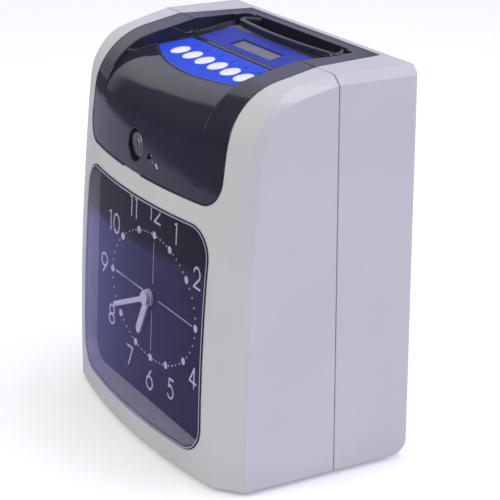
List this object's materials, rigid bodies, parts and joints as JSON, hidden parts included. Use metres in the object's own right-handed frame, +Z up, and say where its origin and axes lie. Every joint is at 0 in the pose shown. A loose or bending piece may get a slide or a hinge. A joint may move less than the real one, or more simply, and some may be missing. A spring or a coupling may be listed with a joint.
{
  "type": "time clock",
  "caption": "Desktop time clock that prints on cards: pale shell, dark top with a card mouth, keys and display, an analogue clock in the lockable front cover, card printer inside",
  "frame": {"origin": "on the table under the middle of the machine, at the centre of its bounding box's bottom", "axes": "+X to the viewer's right, -Y is the front with the clock, +Y the rear wall side, +Z up"},
  "size_m": [0.2, 0.122, 0.2195],
  "materials": {
    "case_plastic": "fine-grained pale grey moulding",
    "dark_plastic": "satin charcoal moulding",
    "clear_lens": "clear polished moulding",
    "dial_sheet": "matt grey-blue paint",
    "white_plastic": "smooth white moulding",
    "blue_overlay": "printed film",
    "display_glass": "grey liquid-crystal display glass",
    "zinc": "polished plated casting",
    "steel": "bright zinc plate",
    "sheet_steel": "zinc-plated sheet",
    "brass": "turned",
    "rubber": "matt moulded rubber",
    "black_plastic": "satin black moulding",
    "board": "green solder mask",
    "battery_wrap": "shrink sleeve",
    "winding": "taped winding",
    "ink_ribbon": "inked woven ribbon",
    "red_lens": "small lamp lens"
  },
  "bodies": {
    "machine": {"rear_case": "case_plastic", "cord_bush": "rubber", "case_screws": "steel", "base_tray": "dark_plastic", "base_screws": "steel", "rubber_feet": "rubber", "top_deck": "dark_plastic", "lcd_overlay": "blue_overlay", "lcd_glass": "display_glass", "lcd_board": "board", "key_tray": "dark_plastic", "keypad_overlay": "blue_overlay", "indicators": "red_lens", "key_board": "board", "key_switches": "black_plastic", "chassis": "sheet_steel", "card_guide_front": "black_plastic", "card_guide_rear": "black_plastic", "platen": "rubber", "feed_motor": "steel", "carriage_rods": "steel", "carriage_belt": "rubber", "carriage_motor": "steel", "ribbon_cassette": "black_plastic", "ribbon": "ink_ribbon", "main_board": "board", "board_posts": "brass", "board_chips": "black_plastic", "transformer": "sheet_steel", "transformer_coil": "winding", "backup_battery": "battery_wrap", "chime_speaker": "black_plastic"},
    "front_cover": {"front_case": "case_plastic", "front_panel": "dark_plastic", "lens": "clear_lens", "dial": "dial_sheet", "dial_screws": "steel", "movement": "black_plastic", "movement_cell": "brass", "movement_nut": "brass", "lock_barrel": "zinc", "lock_nut": "steel"},
    "lock": {"lock_plug": "zinc", "lock_cam": "steel"},
    "hour": {"hour_hand": "white_plastic"},
    "minute": {"minute_hand": "white_plastic", "hand_cap": "white_plastic"},
    "button_1": {"key_1": "white_plastic"},
    "button_2": {"key_2": "white_plastic"},
    "button_3": {"key_3": "white_plastic"},
    "button_4": {"key_4": "white_plastic"},
    "button_5": {"key_5": "white_plastic"},
    "button_6": {"key_6": "white_plastic"},
    "print_carriage": {"carriage": "black_plastic", "print_head": "black_plastic"},
    "drive_wheel": {"drive_pulley": "white_plastic"},
    "idler_wheel": {"idler_pulley": "white_plastic"},
    "feed": {"feed_roller": "rubber"},
    "pinch": {"pinch_rollers": "white_plastic"},
    "knob": {"ribbon_knob": "white_plastic"}
  },
  "joints": [
    {"name": "cover_pull", "type": "slide", "parent": "machine", "child": "front_cover", "axis": [0, -1, 0], "range_m": [0, 0.13]},
    {"name": "lock_turn", "type": "hinge", "parent": "front_cover", "child": "lock", "pos_m": [-0.005, -0.04, 0.167], "axis": [0, 1, 0], "range_deg": [0, 90]},
    {"name": "minute_turn", "type": "hinge", "parent": "front_cover", "child": "minute", "pos_m": [0, -0.04341, 0.0795], "axis": [0, 0.9983, -0.0584], "continuous": true},
    {"name": "hour_turn", "type": "hinge", "parent": "front_cover", "child": "hour", "pos_m": [0, -0.04341, 0.0795], "axis": [0, 0.9983, -0.0584], "continuous": true},
    {"name": "key_1_press", "type": "slide", "parent": "machine", "child": "button_1", "axis": [0, 0.1564, -0.9877], "range_m": [0, 0.001], "stiffness_N_per_m": 400, "springref_m": -0.001},
    {"name": "key_2_press", "type": "slide", "parent": "machine", "child": "button_2", "axis": [0, 0.1564, -0.9877], "range_m": [0, 0.001], "stiffness_N_per_m": 400, "springref_m": -0.001},
    {"name": "key_3_press", "type": "slide", "parent": "machine", "child": "button_3", "axis": [0, 0.1564, -0.9877], "range_m": [0, 0.001], "stiffness_N_per_m": 400, "springref_m": -0.001},
    {"name": "key_4_press", "type": "slide", "parent": "machine", "child": "button_4", "axis": [0, 0.1564, -0.9877], "range_m": [0, 0.001], "stiffness_N_per_m": 400, "springref_m": -0.001},
    {"name": "key_5_press", "type": "slide", "parent": "machine", "child": "button_5", "axis": [0, 0.1564, -0.9877], "range_m": [0, 0.001], "stiffness_N_per_m": 400, "springref_m": -0.001},
    {"name": "key_6_press", "type": "slide", "parent": "machine", "child": "button_6", "axis": [0, 0.1564, -0.9877], "range_m": [0, 0.001], "stiffness_N_per_m": 400, "springref_m": -0.001},
    {"name": "carriage_run", "type": "slide", "parent": "machine", "child": "print_carriage", "axis": [1, 0, 0], "range_m": [-0.028, 0.028]},
    {"name": "drive_turn", "type": "hinge", "parent": "machine", "child": "drive_wheel", "pos_m": [0.05, 0.008, 0.1455], "axis": [0, 1, 0], "continuous": true},
    {"name": "idler_turn", "type": "hinge", "parent": "machine", "child": "idler_wheel", "pos_m": [-0.05, 0.008, 0.1455], "axis": [0, 1, 0], "continuous": true},
    {"name": "feed_turn", "type": "hinge", "parent": "machine", "child": "feed", "pos_m": [0, 0.0393, 0.1205], "axis": [1, 0, 0], "continuous": true},
    {"name": "pinch_turn", "type": "hinge", "parent": "machine", "child": "pinch", "pos_m": [0, 0.052, 0.1205], "axis": [1, 0, 0], "continuous": true},
    {"name": "ribbon_turn", "type": "hinge", "parent": "machine", "child": "knob", "pos_m": [0.036, 0.006, 0.1905], "axis": [0, 0, 1], "continuous": true}
  ],
  "couplings": [
    {"joint": "hour_turn", "follows": "minute_turn", "ratio": 0.083333},
    {"joint": "drive_turn", "follows": "carriage_run", "rad_per_m": 151.52},
    {"joint": "idler_turn", "follows": "carriage_run", "rad_per_m": 151.52},
    {"joint": "pinch_turn", "follows": "feed_turn", "ratio": -1.2727}
  ]
}
